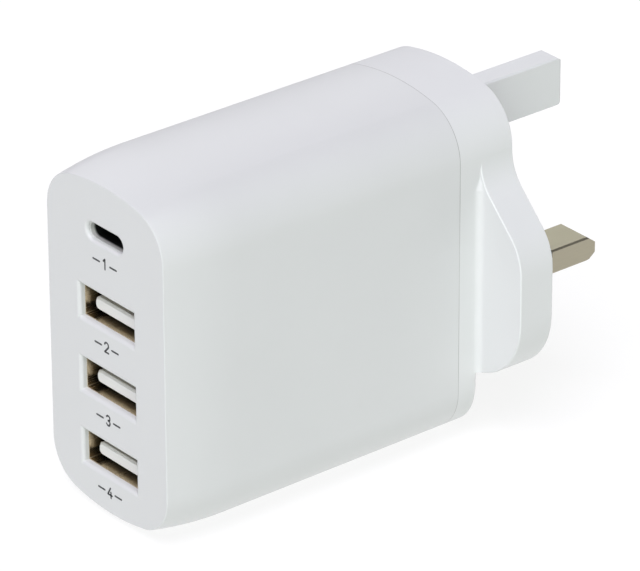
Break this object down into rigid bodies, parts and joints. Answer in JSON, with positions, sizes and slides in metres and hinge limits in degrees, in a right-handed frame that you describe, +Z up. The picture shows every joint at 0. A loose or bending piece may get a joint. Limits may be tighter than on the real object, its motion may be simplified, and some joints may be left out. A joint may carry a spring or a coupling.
{
  "type": "multi-port usb wall charger",
  "caption": "Slab-shaped mains charger with USB sockets stacked on its narrow front face and a flat plug base with pins and side lobes at its back.",
  "frame": {"origin": "on the plug face, midway between the live and the neutral pin", "axes": "+Y out of the plug face into the wall, +Z up towards the earth pin, +X to the right as seen from the port face"},
  "size_m": [0.0488, 0.0855, 0.0558],
  "materials": {
    "case_plastic": "satin white moulded plastic",
    "earth_pin_plastic": "satin white moulded plastic",
    "plated_pin": "nickel plated, satin",
    "sleeve_plastic": "matt black",
    "contact_strip": "rolled strip",
    "socket_steel": "plated sheet",
    "white_tongue": "moulded, satin",
    "black_tongue": "moulded, matt",
    "gold_contact": "gold plated",
    "circuit_board": "solder mask",
    "ferrite": "ground",
    "copper_winding": "enamelled wire",
    "bobbin_plastic": "moulded",
    "capacitor_can": "sleeved can",
    "ceramic_disc": "dipped coating",
    "film_box": "moulded box",
    "black_epoxy": "moulded",
    "heat_sink": "sheet",
    "insulating_film": "film"
  },
  "bodies": {
    "root": {"body_shell": "case_plastic", "rear_cover": "case_plastic", "earth_pin": "earth_pin_plastic", "live_pin": "plated_pin", "neutral_pin": "plated_pin", "live_pin_sleeve": "sleeve_plastic", "neutral_pin_sleeve": "sleeve_plastic", "live_contact_strip": "contact_strip", "neutral_contact_strip": "contact_strip", "usb_c_shell": "socket_steel", "usb_a1_shell": "socket_steel", "usb_a2_shell": "socket_steel", "usb_a3_shell": "socket_steel", "usb_a1_tongue": "white_tongue", "usb_a2_tongue": "white_tongue", "usb_a3_tongue": "white_tongue", "usb_c_tongue": "black_tongue", "usb_c_contacts": "gold_contact", "usb_a1_contacts": "gold_contact", "usb_a2_contacts": "gold_contact", "usb_a3_contacts": "gold_contact", "port_board": "circuit_board", "power_board": "circuit_board", "transformer_core": "ferrite", "filter_choke_core": "ferrite", "transformer_winding": "copper_winding", "filter_choke_windings": "copper_winding", "transformer_bobbin": "bobbin_plastic", "input_capacitors": "capacitor_can", "output_capacitors": "capacitor_can", "surge_disc": "ceramic_disc", "bridging_capacitor": "ceramic_disc", "filter_capacitor": "film_box", "fuse": "black_epoxy", "bridge_rectifier": "black_epoxy", "switch_transistor": "black_epoxy", "optocoupler": "black_epoxy", "output_rectifier": "black_epoxy", "step_down_coil": "black_epoxy", "port_chips": "black_epoxy", "switch_heat_sink": "heat_sink", "heat_spreader": "heat_sink", "insulating_sheet": "insulating_film"}
  },
  "joints": []
}
